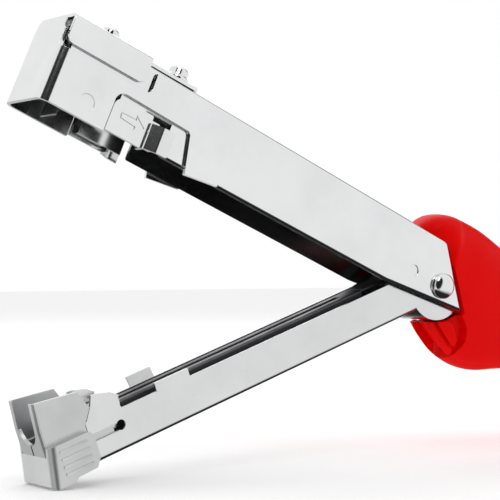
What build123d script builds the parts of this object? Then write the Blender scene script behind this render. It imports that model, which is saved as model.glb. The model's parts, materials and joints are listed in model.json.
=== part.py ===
"""Hammer tacker, opened for loading.

The tool stands on its nose cap and on the butt of its handle. The body channel, with the striking
head at one end and the grip at the other, slopes down to the rear. The magazine hangs on the pivot
rivet beside the grip and is swung down to its open stop.

Two local frames are used, both with their origin on the pivot axis. In each, the first coordinate
runs to the rear, and the second one up, at right angles to the body channel or to the magazine.
"""

from build123d import *

import os
from math import cos, radians, sin

# ---------------------------------------------------------------- stance (mm, degrees)
PIVOT_X = 17.66  # pivot axis in the row frame; the frame's origin is under the middle of the box
PIVOT_Z = 62.21
BODY_TILT = 23.5  # body channel, rear end down
OPEN_ANGLE = 42.9  # between the body channel and the magazine
MAG_TILT = BODY_TILT - OPEN_ANGLE  # magazine, rear end up

# ---------------------------------------------------------------- body channel
SHEET = 1.2
FIT = 0.05  # play between parts that slide or turn on each other
CHANNEL_HALF = 11.65
CHANNEL_INNER = CHANNEL_HALF - SHEET
CHANNEL_FRONT = -169.4
CHANNEL_TOP = 17.6
CHANNEL_TOP_REAR = 15.9
CHANNEL_BOTTOM = -8.5
TAPER_START = -112.0  # from here the top slopes down to the rear

# ---------------------------------------------------------------- head
HEAD_FRONT = -173.6
HEAD_HALF = 13.0
HEAD_BOTTOM = -10.3
HEAD_TOP = 18.9
HEAD_SHEET = 1.3
HEAD_BEND = 3.8  # outer radius of the upright front bends
NOTCH_FLOOR = 8.2  # the side plates are cut down to here under the top cap
NOTCH_END = -138.3
WINDOW_FRONT = -149.3  # latch window, open at the bottom
WINDOW_TOP = 4.2
CAP_HALF = 12.9
CAP_TOP = 20.0
STRAP_HALF = 10.4
STRAP_SHEET = 1.1

# ---------------------------------------------------------------- rivets
PIVOT_RADIUS = 2.5
PIVOT_HEAD_RADIUS = 4.65
CAP_RIVETS = ((-155.5, -4.6), (-155.5, 4.6))
STRAP_RIVETS = ((-128.2, -6.0), (-128.2, 6.0))
TOP_RIVET_RADIUS = 1.7

# ---------------------------------------------------------------- driver
BLADE_X = -163.4
BLADE_SHEET = 0.8
BLADE_HALF = 5.3
BLADE_TIP = -10.6

# ---------------------------------------------------------------- latch
LATCH_SHEET = 1.0
LATCH_HALF = 10.3  # outside of the arms, inside the channel
TAB_FRONT = -149.1
TAB_REAR = -134.6
TAB_TOP = 2.2
LATCH_BOTTOM = -9.4

# ---------------------------------------------------------------- magazine
MAG_SHEET = 1.0
MAG_HALF = 8.6
MAG_INNER = MAG_HALF - MAG_SHEET
MAG_TOP = 8.6
MAG_BOTTOM = -5.3
MAG_WALL_FRONT = -150.8
REAR_RADIUS = 12.5  # rounded rear end about the pivot
NOSE_CAP_HALF = 11.4
NOSE_CAP_TOP = 6.3
STRIKE_FACE = -7.0
MAG_BEND = 1.6  # outer radius of the bends along the bottom
LOW_WALL_TOP = 8.0
LOW_WALL_FRONT = -137.0
LOW_WALL_REAR = -14.0
NEAR_TAB_FRONT = -123.0
NEAR_TAB_LENGTH = 13.4
NEAR_TAB_RISE = 2.9

# ---------------------------------------------------------------- staple track and pusher
RAIL_HALF = 4.0
RAIL_TOP = 9.3
RAIL_FRONT = -161.0
RAIL_REAR = -30.0
ROD_RADIUS = 1.2
ROD_HEIGHT = 2.4
BUSH_RADIUS = 2.5
PUSHER_FRONT = -158.0
PUSHER_LENGTH = 20.0
BUSH_REAR = -146.0
ROD_BLOCK_FRONT = -38.0


def side(tilt, y=0.0):
    """Upright plane along the part: x to the rear, y up. Its normal points to -Y."""
    lean = radians(tilt)
    return Plane(origin=(PIVOT_X, y, PIVOT_Z), x_dir=(cos(lean), 0, -sin(lean)), z_dir=(0, -1, 0))


def deck(tilt, height):
    """Plane seen from above: x to the rear, y across, at a height over the pivot axis."""
    lean = radians(tilt)
    up = (sin(lean), 0, cos(lean))
    origin = (PIVOT_X + height * up[0], 0, PIVOT_Z + height * up[2])
    return Plane(origin=origin, x_dir=(cos(lean), 0, -sin(lean)), z_dir=up)


def face(tilt, along):
    """Plane across the part: x across, y up, at a distance behind the pivot axis."""
    lean = radians(tilt)
    rear = (cos(lean), 0, -sin(lean))
    origin = (PIVOT_X + along * rear[0], 0, PIVOT_Z + along * rear[2])
    return Plane(origin=origin, x_dir=(0, 1, 0), z_dir=rear)


def save(piece, name):
    """Labels a finished piece and writes its STEP file."""
    piece.part.label = name
    export_step(piece.part, f"parts/{name}.step")


def long_edges(piece, shortest):
    """Edges of a piece that are at least as long as given."""
    return ShapeList(edge for edge in piece.edges() if edge.length > shortest)


os.makedirs("parts", exist_ok=True)

WALL_SIDES = (-1, 1)  # near side, far side

# ================================================================ body

CHANNEL_REAR_TIP = (13.0, -5.2)
CHANNEL_REAR_TOP = (-3.6, CHANNEL_TOP_REAR)
CHANNEL_BREAK = -25.0  # the bottom edge rises behind here
CHANNEL_CORNER = 3.0  # rounding of the rear top corner

with BuildPart() as body_channel:
    with BuildSketch(side(BODY_TILT)) as channel_profile:
        with BuildLine():
            Polyline(
                (CHANNEL_FRONT, CHANNEL_BOTTOM),
                (CHANNEL_BREAK, CHANNEL_BOTTOM),
                CHANNEL_REAR_TIP,
                CHANNEL_REAR_TOP,
                (TAPER_START, CHANNEL_TOP),
                (CHANNEL_FRONT, CHANNEL_TOP),
                close=True,
            )
        make_face()
        fillet(channel_profile.vertices().group_by(Axis.X)[-2:][0], CHANNEL_CORNER)
    extrude(amount=CHANNEL_HALF, both=True)
    fillet(long_edges(body_channel, 40).filter_by(lambda e: e.center().Z > PIVOT_Z + 15), 1.6)
    with BuildSketch(side(BODY_TILT)):
        with BuildLine():
            Polyline(
                (CHANNEL_FRONT - 1, CHANNEL_BOTTOM - 1),
                (20, CHANNEL_BOTTOM - 1),
                (20, CHANNEL_TOP_REAR - SHEET),
                (-3.6, CHANNEL_TOP_REAR - SHEET),
                (TAPER_START, CHANNEL_TOP - SHEET),
                (CHANNEL_FRONT - 1, CHANNEL_TOP - SHEET),
                close=True,
            )
        make_face()
    extrude(amount=CHANNEL_INNER, both=True, mode=Mode.SUBTRACT)
    # the walls are cut back in the head, where the nose cap swings up between the side plates
    with BuildSketch(side(BODY_TILT)):
        with Locations((CHANNEL_FRONT - 1, 4.4)):
            Rectangle(23.2, 14, align=(Align.MIN, Align.MAX))
        # latch windows behind the tabs
        with Locations((-137.0, 3.2)):
            Rectangle(10.4, 13, align=(Align.MIN, Align.MAX))
        # slots at the end of the housing notch
        with Locations((-137.9, 11.6)):
            SlotOverall(7.2, 2.2, rotation=90)
    extrude(amount=CHANNEL_HALF + 1, both=True, mode=Mode.SUBTRACT)
    with BuildSketch(side(BODY_TILT)):
        Circle(PIVOT_RADIUS)
    extrude(amount=CHANNEL_HALF + 1, both=True, mode=Mode.SUBTRACT)
    with BuildSketch(deck(BODY_TILT, CHANNEL_TOP + 1)):
        with Locations(*CAP_RIVETS, *STRAP_RIVETS):
            Circle(TOP_RIVET_RADIUS)
    extrude(amount=-5, mode=Mode.SUBTRACT)
    # slots in the top, where the cheeks of the nose rise under the cap
    with BuildSketch(deck(BODY_TILT, CHANNEL_TOP + 1)):
        with GridLocations(0, 15.1, 1, 2):
            with Locations((CHANNEL_FRONT - 1, 0)):
                Rectangle(24.2, 4.1, align=(Align.MIN, Align.CENTER))
    extrude(amount=-3, mode=Mode.SUBTRACT)
    # shallow pressed marks in front of the pivot
    for y_side in WALL_SIDES:
        with BuildSketch(side(BODY_TILT, y_side * CHANNEL_HALF)):
            with Locations((-14.4, -0.1)):
                Circle(2.1)
        extrude(amount=y_side * 0.35, mode=Mode.SUBTRACT)
save(body_channel, "body_channel")

PLATE_REAR_TOP = (-115.2, 15.6)
PLATE_REAR_BOTTOM = (-103.4, -8.4)

with BuildPart() as head_housing:
    with BuildSketch(deck(BODY_TILT, HEAD_BOTTOM)) as housing_plan:
        with Locations((HEAD_FRONT, 0)):
            Rectangle(75, 2 * HEAD_HALF, align=(Align.MIN, Align.CENTER))
        fillet(housing_plan.vertices().group_by(Axis.X)[0], HEAD_BEND)
        with BuildSketch(deck(BODY_TILT, HEAD_BOTTOM), mode=Mode.SUBTRACT) as housing_inside:
            with Locations((HEAD_FRONT + HEAD_SHEET, 0)):
                Rectangle(80, 2 * (HEAD_HALF - HEAD_SHEET), align=(Align.MIN, Align.CENTER))
            fillet(housing_inside.vertices().group_by(Axis.X)[0], HEAD_BEND - HEAD_SHEET)
    extrude(amount=HEAD_TOP - HEAD_BOTTOM)
    # side plates: slanted rear edge, raised rear bottom edge, top below the channel's bend
    with BuildSketch(side(BODY_TILT)):
        with BuildLine():
            Polyline(
                (-118.0, HEAD_BOTTOM - 1),
                (-118.0, HEAD_BOTTOM),
                PLATE_REAR_BOTTOM,
                PLATE_REAR_TOP,
                (NOTCH_END, PLATE_REAR_TOP[1]),
                (NOTCH_END, HEAD_TOP + 1),
                (-90, HEAD_TOP + 1),
                (-90, HEAD_BOTTOM - 1),
                close=True,
            )
        make_face()
    extrude(amount=HEAD_HALF + 1, both=True, mode=Mode.SUBTRACT)
    # notch under the top cap, and the latch window
    for y_side in WALL_SIDES:
        with BuildSketch(side(BODY_TILT, y_side * 10.7)) as notch:
            with Locations((HEAD_FRONT - 1, NOTCH_FLOOR)):
                Rectangle(NOTCH_END - HEAD_FRONT + 1, 14, align=(Align.MIN, Align.MIN))
            fillet(notch.vertices().group_by(Axis.X)[-1].sort_by(Axis.Y)[0], 2.0)
        extrude(amount=-y_side * 4, mode=Mode.SUBTRACT)
        with BuildSketch(side(BODY_TILT, y_side * 11)) as window:
            with BuildLine():
                Polyline(
                    (WINDOW_FRONT, HEAD_BOTTOM - 1),
                    (WINDOW_FRONT, WINDOW_TOP),
                    (-119.9, 3.5),
                    (-116.3, HEAD_BOTTOM - 1),
                    close=True,
                )
            make_face()
            fillet(window.vertices().sort_by(Axis.Y)[-1], 3.2)
            fillet(window.vertices().sort_by(Axis.X)[-2], 1.6)
        extrude(amount=-y_side * 4, mode=Mode.SUBTRACT)
        # round spot-weld dimples
        with BuildSketch(side(BODY_TILT, y_side * HEAD_HALF)):
            with Locations((-158.2, -4.7)):
                Circle(2.8)
        extrude(amount=y_side * 0.15, mode=Mode.SUBTRACT)
    # chamfered top corners of the front plate
    with BuildSketch(face(BODY_TILT, HEAD_FRONT - 1)):
        for y_side in WALL_SIDES:
            with BuildLine():
                Polyline((y_side * 14, 14.4), (y_side * 10.7, 14.4), (y_side * 7.3, HEAD_TOP),
                         (y_side * 7.3, 22), (y_side * 14, 22), close=True)
            make_face()
    extrude(amount=4, mode=Mode.SUBTRACT)
save(head_housing, "head_housing")

with BuildPart() as top_cap:
    with BuildSketch(side(BODY_TILT)) as cap_side:
        with Locations((-172.2, 10.0)):
            Rectangle(30.5, CAP_TOP - 10.0, align=(Align.MIN, Align.MIN))
        fillet(cap_side.vertices().group_by(Axis.Y)[0], 2.4)
    extrude(amount=CAP_HALF, both=True)
    fillet(long_edges(top_cap, 29).group_by(Axis.Z)[-1], 2.2)
    with BuildSketch(face(BODY_TILT, -180)):
        with Locations((0, 0)):
            Rectangle(2 * (CHANNEL_HALF + FIT), 2 * (CAP_TOP - SHEET))
    extrude(amount=60, mode=Mode.SUBTRACT)
    with BuildSketch(deck(BODY_TILT, CAP_TOP + 1)):
        with Locations(*CAP_RIVETS):
            Circle(TOP_RIVET_RADIUS)
    extrude(amount=-5, mode=Mode.SUBTRACT)
save(top_cap, "top_cap")

STRAP_BOTTOM = CHANNEL_TOP + FIT
STRAP_TOP = STRAP_BOTTOM + STRAP_SHEET

with BuildPart() as top_strap:
    with BuildSketch(deck(BODY_TILT, STRAP_BOTTOM)) as strap_plan:
        with Locations((-168.0, 0)):
            Rectangle(46.8, 2 * STRAP_HALF, align=(Align.MIN, Align.CENTER))
        fillet(strap_plan.vertices(), 1.2)
    extrude(amount=STRAP_SHEET)
    # upturned lip at the rear end
    with BuildSketch(deck(BODY_TILT, STRAP_BOTTOM)):
        with Locations((-121.9, 0)):
            Rectangle(1.2, 2 * STRAP_HALF - 3.4)
    extrude(amount=STRAP_SHEET + 0.8)
    with BuildSketch(deck(BODY_TILT, CHANNEL_TOP - 1)):
        with Locations(*CAP_RIVETS, *STRAP_RIVETS):
            Circle(TOP_RIVET_RADIUS)
    extrude(amount=4, mode=Mode.SUBTRACT)
save(top_strap, "top_strap")

BLADE_FLANGE_TOP = CHANNEL_TOP - SHEET
CLAMP_TOP = BLADE_FLANGE_TOP - BLADE_SHEET
CLAMP_SHEET = 1.2

with BuildPart() as cap_rivets:
    with BuildSketch(deck(BODY_TILT, CLAMP_TOP - CLAMP_SHEET)):
        with Locations(*CAP_RIVETS):
            Circle(TOP_RIVET_RADIUS)
    extrude(amount=CAP_TOP - CLAMP_TOP + CLAMP_SHEET)
    with BuildSketch(deck(BODY_TILT, CAP_TOP)):
        with Locations(*CAP_RIVETS):
            Circle(2.9)
    extrude(amount=3.6)
    fillet(cap_rivets.edges().filter_by(GeomType.CIRCLE).group_by(Axis.Z)[-1], 0.9)
save(cap_rivets, "cap_rivets")

STRAP_RIVET_TAIL = BLADE_FLANGE_TOP - 1.8

with BuildPart() as strap_rivets:
    with BuildSketch(deck(BODY_TILT, STRAP_RIVET_TAIL)):
        with Locations(*STRAP_RIVETS):
            Circle(TOP_RIVET_RADIUS)
    extrude(amount=STRAP_TOP - STRAP_RIVET_TAIL)
    with BuildSketch(deck(BODY_TILT, STRAP_TOP)):
        with Locations(*STRAP_RIVETS):
            Circle(4.0)
    extrude(amount=1.6)
    with BuildSketch(deck(BODY_TILT, STRAP_TOP + 1.6)):
        with Locations(*STRAP_RIVETS):
            Circle(3.3)
    extrude(amount=2.9)
    fillet(strap_rivets.edges().filter_by(GeomType.CIRCLE).group_by(Axis.Z)[-1], 1.0)
    # clenched centres
    with BuildSketch(deck(BODY_TILT, STRAP_TOP + 5)):
        with Locations(*STRAP_RIVETS):
            Circle(1.5)
    extrude(amount=-2.4, taper=12, mode=Mode.SUBTRACT)
save(strap_rivets, "strap_rivets")

with BuildPart() as driver_blade:
    with BuildSketch(side(BODY_TILT)):
        with Locations((BLADE_X, BLADE_TIP)):
            Rectangle(BLADE_SHEET, BLADE_FLANGE_TOP - BLADE_TIP, align=(Align.MIN, Align.MIN))
    extrude(amount=BLADE_HALF, both=True)
    with BuildSketch(deck(BODY_TILT, CLAMP_TOP)):
        with Locations((BLADE_X, 0)):
            Rectangle(16.5, 13.2, align=(Align.MIN, Align.CENTER))
    extrude(amount=BLADE_SHEET)
    with BuildSketch(deck(BODY_TILT, BLADE_FLANGE_TOP + 1)):
        with Locations(*CAP_RIVETS):
            Circle(TOP_RIVET_RADIUS)
    extrude(amount=-3, mode=Mode.SUBTRACT)
save(driver_blade, "driver_blade")

with BuildPart() as driver_clamp:
    with BuildSketch(deck(BODY_TILT, CLAMP_TOP)):
        with Locations((CAP_RIVETS[0][0], 0)):
            Rectangle(9, 13.2)
        with Locations(*CAP_RIVETS):
            Circle(TOP_RIVET_RADIUS, mode=Mode.SUBTRACT)
    extrude(amount=-CLAMP_SHEET)
save(driver_clamp, "driver_clamp")

LEAF_SHEET = 0.8
LEAF_TOP = CHANNEL_TOP - SHEET
LEAF_ROOT = -119.5

with BuildPart() as return_leaf:
    with BuildSketch(side(BODY_TILT)):
        with BuildLine():
            FilletPolyline(
                (LEAF_ROOT - 1, LEAF_TOP - LEAF_SHEET / 2),
                (-116.0, LEAF_TOP - LEAF_SHEET / 2),
                (-88.0, 11.6),
                (-83.0, 12.8),
                radius=3.0,
            )
            offset(amount=LEAF_SHEET / 2, side=Side.BOTH)
        make_face()
    extrude(amount=5.5, both=True)
    with BuildSketch(deck(BODY_TILT, LEAF_TOP)):
        with Locations((LEAF_ROOT, 0)):
            Rectangle(12.5, 16.0, align=(Align.MAX, Align.CENTER))
        with Locations(*STRAP_RIVETS):
            Circle(TOP_RIVET_RADIUS, mode=Mode.SUBTRACT)
    extrude(amount=-LEAF_SHEET)
save(return_leaf, "return_leaf")

# bar welded between the walls: the magazine's top edge rests against it when the tool is open
STOP_RADIUS = 1.5
STOP_ALONG = 6.0
STOP_UP = MAG_TOP + STOP_RADIUS + 0.03

with BuildPart() as open_stop:
    with BuildSketch(side(MAG_TILT)):
        with Locations((STOP_ALONG, STOP_UP)):
            Circle(STOP_RADIUS)
    extrude(amount=CHANNEL_INNER, both=True)
save(open_stop, "open_stop")

with BuildPart() as pivot_rivet:
    with BuildSketch(side(BODY_TILT)):
        Circle(PIVOT_RADIUS)
    extrude(amount=CHANNEL_HALF, both=True)
    for y_side in WALL_SIDES:
        with BuildSketch(side(BODY_TILT, y_side * CHANNEL_HALF)):
            Circle(PIVOT_HEAD_RADIUS)
        extrude(amount=-y_side * 3.0)
    domes = pivot_rivet.edges().filter_by(GeomType.CIRCLE)
    fillet(domes.group_by(Axis.Y)[0] + domes.group_by(Axis.Y)[-1], 2.7)
save(pivot_rivet, "pivot_rivet")

# fork that holds the grip: its cheeks stand between the channel walls and the magazine
FORK_INNER = 8.85
FORK_ROOT = 14.4
TANG_END = 104.0
TANG_HALF = 3.0
TANG_LOW = -3.0
TANG_HIGH = 9.0
TANG_PINS = ((44.0, 3.0), (86.0, 3.0))
TANG_PIN_RADIUS = 2.0
TANG_PIN_HALF = 9.0

with BuildPart() as handle_fork:
    with BuildSketch(side(BODY_TILT)) as fork_profile:
        with BuildLine():
            Polyline((-8, -4.6), (FORK_ROOT, TANG_LOW), (22, TANG_LOW), (22, TANG_HIGH),
                     (FORK_ROOT, TANG_HIGH), (-8, 5.5), close=True)
        make_face()
        fillet(fork_profile.vertices().group_by(Axis.X)[0], 3.0)
    extrude(amount=CHANNEL_INNER - FIT, both=True)
    with BuildSketch(side(BODY_TILT)):
        with Locations((-20, 0)):
            Rectangle(20 + FORK_ROOT, 40, align=(Align.MIN, Align.CENTER))
    extrude(amount=FORK_INNER, both=True, mode=Mode.SUBTRACT)
    with BuildSketch(side(BODY_TILT)):
        Circle(PIVOT_RADIUS)
    extrude(amount=CHANNEL_HALF, both=True, mode=Mode.SUBTRACT)
    with BuildSketch(side(BODY_TILT)):
        with Locations((20, TANG_LOW)):
            Rectangle(TANG_END - 20, TANG_HIGH - TANG_LOW, align=(Align.MIN, Align.MIN))
    extrude(amount=TANG_HALF, both=True)
    with BuildSketch(side(BODY_TILT)):
        with Locations(*TANG_PINS):
            Circle(TANG_PIN_RADIUS)
    extrude(amount=TANG_HALF + 1, both=True, mode=Mode.SUBTRACT)
save(handle_fork, "handle_fork")

with BuildPart() as tang_pins:
    with BuildSketch(side(BODY_TILT)):
        with Locations(*TANG_PINS):
            Circle(TANG_PIN_RADIUS)
    extrude(amount=TANG_PIN_HALF, both=True)
save(tang_pins, "tang_pins")

# ---------------------------------------------------------------- grip
SOCKET_PLAY = 0.15
# distance behind the pivot, lowest, highest, width, corner radius
GRIP_SECTIONS = (
    (8.6, -16.8, 29.3, 24.8, 12.2),
    (16.0, -20.2, 29.5, 26.8, 13.1),
    (27.0, -21.3, 27.6, 27.4, 13.4),
    (35.0, -19.8, 26.2, 27.2, 13.3),
    (43.5, -16.0, 25.0, 26.8, 13.1),
    (54.0, -11.6, 23.8, 26.0, 12.7),
    (70.0, -9.2, 22.4, 25.0, 12.2),
    (98.0, -9.6, 21.4, 25.4, 12.4),
    (122.0, -11.4, 20.8, 26.6, 12.8),
    (133.0, -10.4, 17.4, 23.6, 11.4),
)
# hood over the rear end of the channel
HOOD_SECTIONS = (
    (-12.6, 15.2, 18.6, 5.0, 1.6),
    (-10.8, 13.8, 21.0, 11.0, 3.4),
    (-7.2, 11.8, 24.0, 16.6, 6.0),
    (-2.0, 10.0, 26.7, 21.0, 8.2),
    (4.0, 8.0, 28.6, 24.0, 10.2),
    (9.6, 6.0, 29.1, 24.8, 11.4),
)
# finger guard under the pivot
GUARD_SECTIONS = (
    (3.4, -13.0, -4.0, 6.0, 2.9),
    (4.6, -14.2, -2.0, 10.6, 5.2),
    (6.6, -15.8, 2.0, 16.0, 7.8),
    (9.6, -17.2, 6.0, 22.0, 10.8),
)
# distance from the mid-plane, rear end
RIB_GROOVES = ((3.5, 7.4), (7.3, 10.4), (10.9, 15.0))
GROOVE_WIDTH = 1.9
GROOVE_TOP = -10.4


def lofted(sections):
    """Solid through rounded sections that stand across the grip."""
    with BuildPart() as blend:
        for along, low, high, width, corner in sections:
            with BuildSketch(face(BODY_TILT, along)):
                with Locations((0, (low + high) / 2)):
                    RectangleRounded(width, high - low, corner)
        loft()
    return blend.part


with BuildPart() as handle_grip:
    add(lofted(GRIP_SECTIONS))
    fillet(handle_grip.edges().group_by(Axis.X)[-1], 3.0)
    add(lofted(HOOD_SECTIONS))
    add(lofted(GUARD_SECTIONS))
    # the slanted rear end of the channel stands bare in front of the grip
    with BuildSketch(side(BODY_TILT)):
        with BuildLine():
            Polyline(
                (-30.0, -9.2),
                (-30.0, CHANNEL_TOP_REAR + 0.5),
                (CHANNEL_REAR_TOP[0] + 0.3, CHANNEL_TOP_REAR + SOCKET_PLAY),
                (CHANNEL_REAR_TIP[0] + 0.5, CHANNEL_REAR_TIP[1] - 0.1),
                (10.5, -9.2),
                close=True,
            )
        make_face()
    extrude(amount=20, both=True, mode=Mode.SUBTRACT)
    # room for the magazine's rounded rear end
    with BuildSketch(side(BODY_TILT)):
        Circle(REAR_RADIUS + 0.9)
        with Locations((-9.4, -16.0)):
            Rectangle(8.0, 20.0)
    extrude(amount=MAG_HALF + 1.4, both=True, mode=Mode.SUBTRACT)
    # grooves between the ribs under the front of the guard
    for out, groove_rear in RIB_GROOVES:
        with BuildSketch(face(BODY_TILT, -4.0)):
            with GridLocations(2 * out, 0, 2, 1):
                with Locations((0, GROOVE_TOP)):
                    Rectangle(GROOVE_WIDTH, 20.0, align=(Align.CENTER, Align.MAX))
        extrude(amount=groove_rear + 4.0, mode=Mode.SUBTRACT)
    add(handle_fork.part, mode=Mode.SUBTRACT)
    add(tang_pins.part, mode=Mode.SUBTRACT)
save(handle_grip, "handle_grip")

# ================================================================ magazine

with BuildPart() as magazine_channel:
    with BuildSketch(side(MAG_TILT)):
        with Locations((MAG_WALL_FRONT, MAG_BOTTOM)):
            Rectangle(-MAG_WALL_FRONT, MAG_TOP - MAG_BOTTOM, align=(Align.MIN, Align.MIN))
        Circle(REAR_RADIUS)
        with Locations((-20, MAG_TOP)):
            Rectangle(60, 20, align=(Align.MIN, Align.MIN), mode=Mode.SUBTRACT)
        # front tabs on both walls
        with BuildLine():
            Polyline((MAG_WALL_FRONT, 7.7), (-147.4, 12.6), (-146.0, 15.9), (-144.2, 15.8),
                     (-139.0, 14.2), (-136.6, 12.4), (-137.3, 8.5), (-137.3, 0),
                     (MAG_WALL_FRONT, 0), close=True)
        make_face()
    extrude(amount=MAG_HALF, both=True)
    fillet(long_edges(magazine_channel, 60).group_by(Axis.Z)[0], MAG_BEND)
    with BuildSketch(side(MAG_TILT)):
        with Locations((MAG_WALL_FRONT - 1, MAG_BOTTOM + MAG_SHEET)):
            Rectangle(-MAG_WALL_FRONT - 10, 30, align=(Align.MIN, Align.MIN))
        Circle(REAR_RADIUS - MAG_SHEET)
        with Locations((-14, 0)):
            Rectangle(30, 30, align=(Align.MIN, Align.MIN))
    extrude(amount=MAG_INNER, both=True, mode=Mode.SUBTRACT)
    with BuildSketch(side(MAG_TILT)):
        Circle(PIVOT_RADIUS + FIT)
        # slot behind the nose cap, with a round end
        with Locations((-146.5, 2.8)):
            SlotOverall(14.6, 2.6)
        with Locations((-138.9, 3.0)):
            Circle(1.7)
    extrude(amount=MAG_HALF + 1, both=True, mode=Mode.SUBTRACT)
    # the near wall is lower between its front tab and the rounded rear end
    with BuildSketch(side(MAG_TILT, -MAG_INNER + 0.5)):
        with Locations((LOW_WALL_FRONT, LOW_WALL_TOP)):
            Rectangle(LOW_WALL_REAR - LOW_WALL_FRONT, 4, align=(Align.MIN, Align.MIN))
    extrude(amount=4, mode=Mode.SUBTRACT)
    # small tab that stands up from the low wall
    with BuildSketch(side(MAG_TILT, -MAG_INNER)):
        with Locations((NEAR_TAB_FRONT, LOW_WALL_TOP - 0.5)):
            Rectangle(NEAR_TAB_LENGTH, NEAR_TAB_RISE + 0.5, align=(Align.MIN, Align.MIN))
    extrude(amount=MAG_SHEET)
    # the far wall carries an ear that leans outwards
    with BuildSketch(face(MAG_TILT, -123.2)):
        with BuildLine():
            Polyline((MAG_INNER, MAG_TOP - 0.6), (MAG_HALF, MAG_TOP - 0.6), (9.9, 12.0),
                     (8.9, 12.0), close=True)
        make_face()
    extrude(amount=9.6)
save(magazine_channel, "magazine_channel")

CHEEK_SHEET = 1.2

with BuildPart() as nose_guide:
    with BuildSketch(side(MAG_TILT)):
        with BuildLine():
            Polyline((-167.0, MAG_BOTTOM), (-167.0, 11.8), (-166.2, 21.0), (-150.2, 18.8),
                     (-147.75, 12.5), (MAG_WALL_FRONT - 0.2, 7.8), (MAG_WALL_FRONT - 0.2, MAG_BOTTOM),
                     close=True)
        make_face()
    extrude(amount=MAG_HALF, both=True)
    with BuildSketch(side(MAG_TILT)):
        with Locations((-167.0 + CHEEK_SHEET, MAG_BOTTOM - 1)):
            Rectangle(40, 40, align=(Align.MIN, Align.MIN))
    extrude(amount=MAG_HALF - CHEEK_SHEET, both=True, mode=Mode.SUBTRACT)
    fillet(nose_guide.edges().filter_by(lambda e: abs(e.center().Y) > 8.5 and e.length > 8)
           .group_by(Axis.X)[0], 0.9)
    # open front for the driver, with a rounded bottom, and the staple slit below it
    with BuildSketch(face(MAG_TILT, -168)):
        with Locations((0, 22)):
            Rectangle(11.6, 10.5, align=(Align.CENTER, Align.MAX))
        with Locations((0, 12.5)):
            Circle(5.8)
        with Locations((0, 8)):
            Rectangle(0.8, 20)
    extrude(amount=3, mode=Mode.SUBTRACT)
    # tongues that reach back inside the magazine walls, seen through the slots
    for y_side in WALL_SIDES:
        with BuildSketch(side(MAG_TILT, y_side * (MAG_INNER - FIT))):
            with Locations((-166.5, 1.2)):
                Rectangle(25.2, 5.6, align=(Align.MIN, Align.MIN))
        extrude(amount=y_side * 1.0)
save(nose_guide, "nose_guide")

CAP_REAR = -150.3
CAP_FRONT = -168.8
NOSE_CORNER = 2.6  # rounding of the upright front corners

with BuildPart() as nose_cap:
    with BuildSketch(side(MAG_TILT)) as nose_profile:
        with BuildLine():
            Polyline((CAP_FRONT + 2.4, NOSE_CAP_TOP), (CAP_REAR, NOSE_CAP_TOP), (CAP_REAR, -2.8),
                     (-152.4, -5.7), (-159.6, -5.9), (-161.2, STRIKE_FACE),
                     (-167.4, STRIKE_FACE), (CAP_FRONT, -5.8), close=True)
        make_face()
        fillet(nose_profile.vertices().group_by(Axis.X)[-1].sort_by(Axis.Y)[-1], 2.4)
    extrude(amount=NOSE_CAP_HALF, both=True)
    fillet(nose_cap.edges().filter_by(lambda e: abs(e.center().Y) > 11.3 and e.length > 8)
           .group_by(Axis.X)[0], NOSE_CORNER)
    # the nose guide and the front of the magazine sit inside
    with BuildSketch(side(MAG_TILT)):
        with Locations((-167.0, MAG_BOTTOM)):
            Rectangle(30, 20, align=(Align.MIN, Align.MIN))
    extrude(amount=MAG_HALF, both=True, mode=Mode.SUBTRACT)
    # staple exit through the striking face
    with BuildSketch(deck(MAG_TILT, MAG_BOTTOM + 0.5)):
        with Locations((-163.1, 0)):
            Rectangle(3.0, 11.8)
    extrude(amount=-4, mode=Mode.SUBTRACT)
    # raised ribs on both flanks
    for y_side in WALL_SIDES:
        with BuildSketch(side(MAG_TILT, y_side * (NOSE_CAP_HALF - 0.2))):
            for row in range(4):
                with Locations((-158.2, 3.9 - 2.5 * row)):
                    SlotOverall(10.5, 0.9)
        extrude(amount=-y_side * 0.5)
save(nose_cap, "nose_cap")

INNER_FLOOR = MAG_BOTTOM + MAG_SHEET

with BuildPart() as staple_rail:
    with BuildSketch(face(MAG_TILT, RAIL_FRONT)) as rail_section:
        with Locations((0, INNER_FLOOR)):
            Rectangle(2 * RAIL_HALF, RAIL_TOP - INNER_FLOOR, align=(Align.CENTER, Align.MIN))
        fillet(rail_section.vertices().group_by(Axis.Y)[-1], 0.8)
        with Locations((0, INNER_FLOOR)):
            Rectangle(2 * RAIL_HALF - 2, RAIL_TOP - INNER_FLOOR - 1, mode=Mode.SUBTRACT,
                      align=(Align.CENTER, Align.MIN))
    extrude(amount=RAIL_REAR - RAIL_FRONT)
    # slot for the pusher's stem
    with BuildSketch(deck(MAG_TILT, RAIL_TOP + 1)):
        with Locations((RAIL_FRONT, 0)):
            Rectangle(ROD_BLOCK_FRONT - RAIL_FRONT, 2.4, align=(Align.MIN, Align.CENTER))
    extrude(amount=-3, mode=Mode.SUBTRACT)
save(staple_rail, "staple_rail")

with BuildPart() as rail_tongue:
    with BuildSketch(side(MAG_TILT)):
        with BuildLine():
            FilletPolyline((RAIL_REAR + 0.6, RAIL_TOP - 0.4), (-20.0, RAIL_TOP - 0.4), (-11.5, 11.4),
                           radius=4.0)
            offset(amount=0.4, side=Side.BOTH)
        make_face()
    extrude(amount=RAIL_HALF, both=True)
save(rail_tongue, "rail_tongue")

with BuildPart() as guide_rod:
    with BuildSketch(face(MAG_TILT, RAIL_FRONT)):
        with Locations((0, ROD_HEIGHT)):
            Circle(ROD_RADIUS)
    extrude(amount=ROD_BLOCK_FRONT + 4 - RAIL_FRONT)
save(guide_rod, "guide_rod")

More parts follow.
